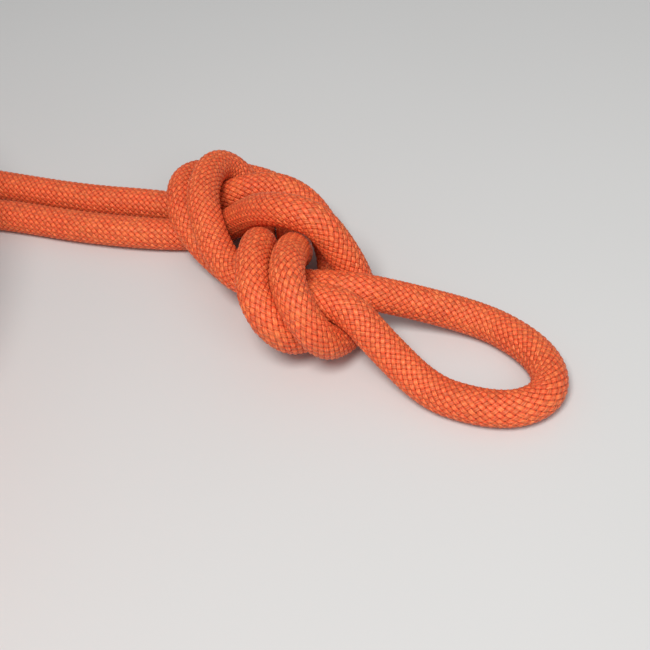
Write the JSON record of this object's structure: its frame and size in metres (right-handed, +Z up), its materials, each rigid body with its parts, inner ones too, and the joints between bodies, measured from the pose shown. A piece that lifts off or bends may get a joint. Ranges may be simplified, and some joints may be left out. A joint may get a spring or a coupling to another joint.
{
  "type": "dynamic climbing rope",
  "caption": "Kernmantle climbing rope with a braided sheath, a loop tied in a doubled figure-eight knot near one end, and its spare length wound in a neat round coil.",
  "frame": {"origin": "middle of the floor rectangle that the whole rope covers, on the floor", "axes": "+Z up; +X from the coil towards the knot, along the longest side; the loop points to +X and -Y"},
  "size_m": [0.4668, 0.315, 0.088],
  "materials": {
    "sheath": "braided polyamide yarn, slight sheen",
    "core": "twisted white polyamide",
    "tape": "thin plain film",
    "sleeve": "shrunk polyolefin, satin",
    "tip": "melted polyamide"
  },
  "bodies": {
    "root": {"sheath": "sheath", "rope_coil": "sheath", "core_strand_01": "core", "core_strand_02": "core", "core_strand_03": "core", "core_strand_04": "core", "core_strand_05": "core", "core_strand_06": "core", "core_strand_07": "core", "core_strand_08": "core", "core_strand_09": "core", "core_strand_10": "core", "core_strand_11": "core", "core_strand_12": "core", "identification_tape": "tape", "tail_sleeve": "sleeve", "end_sleeve": "sleeve", "tail_tip": "tip", "end_tip": "tip"}
  },
  "joints": []
}
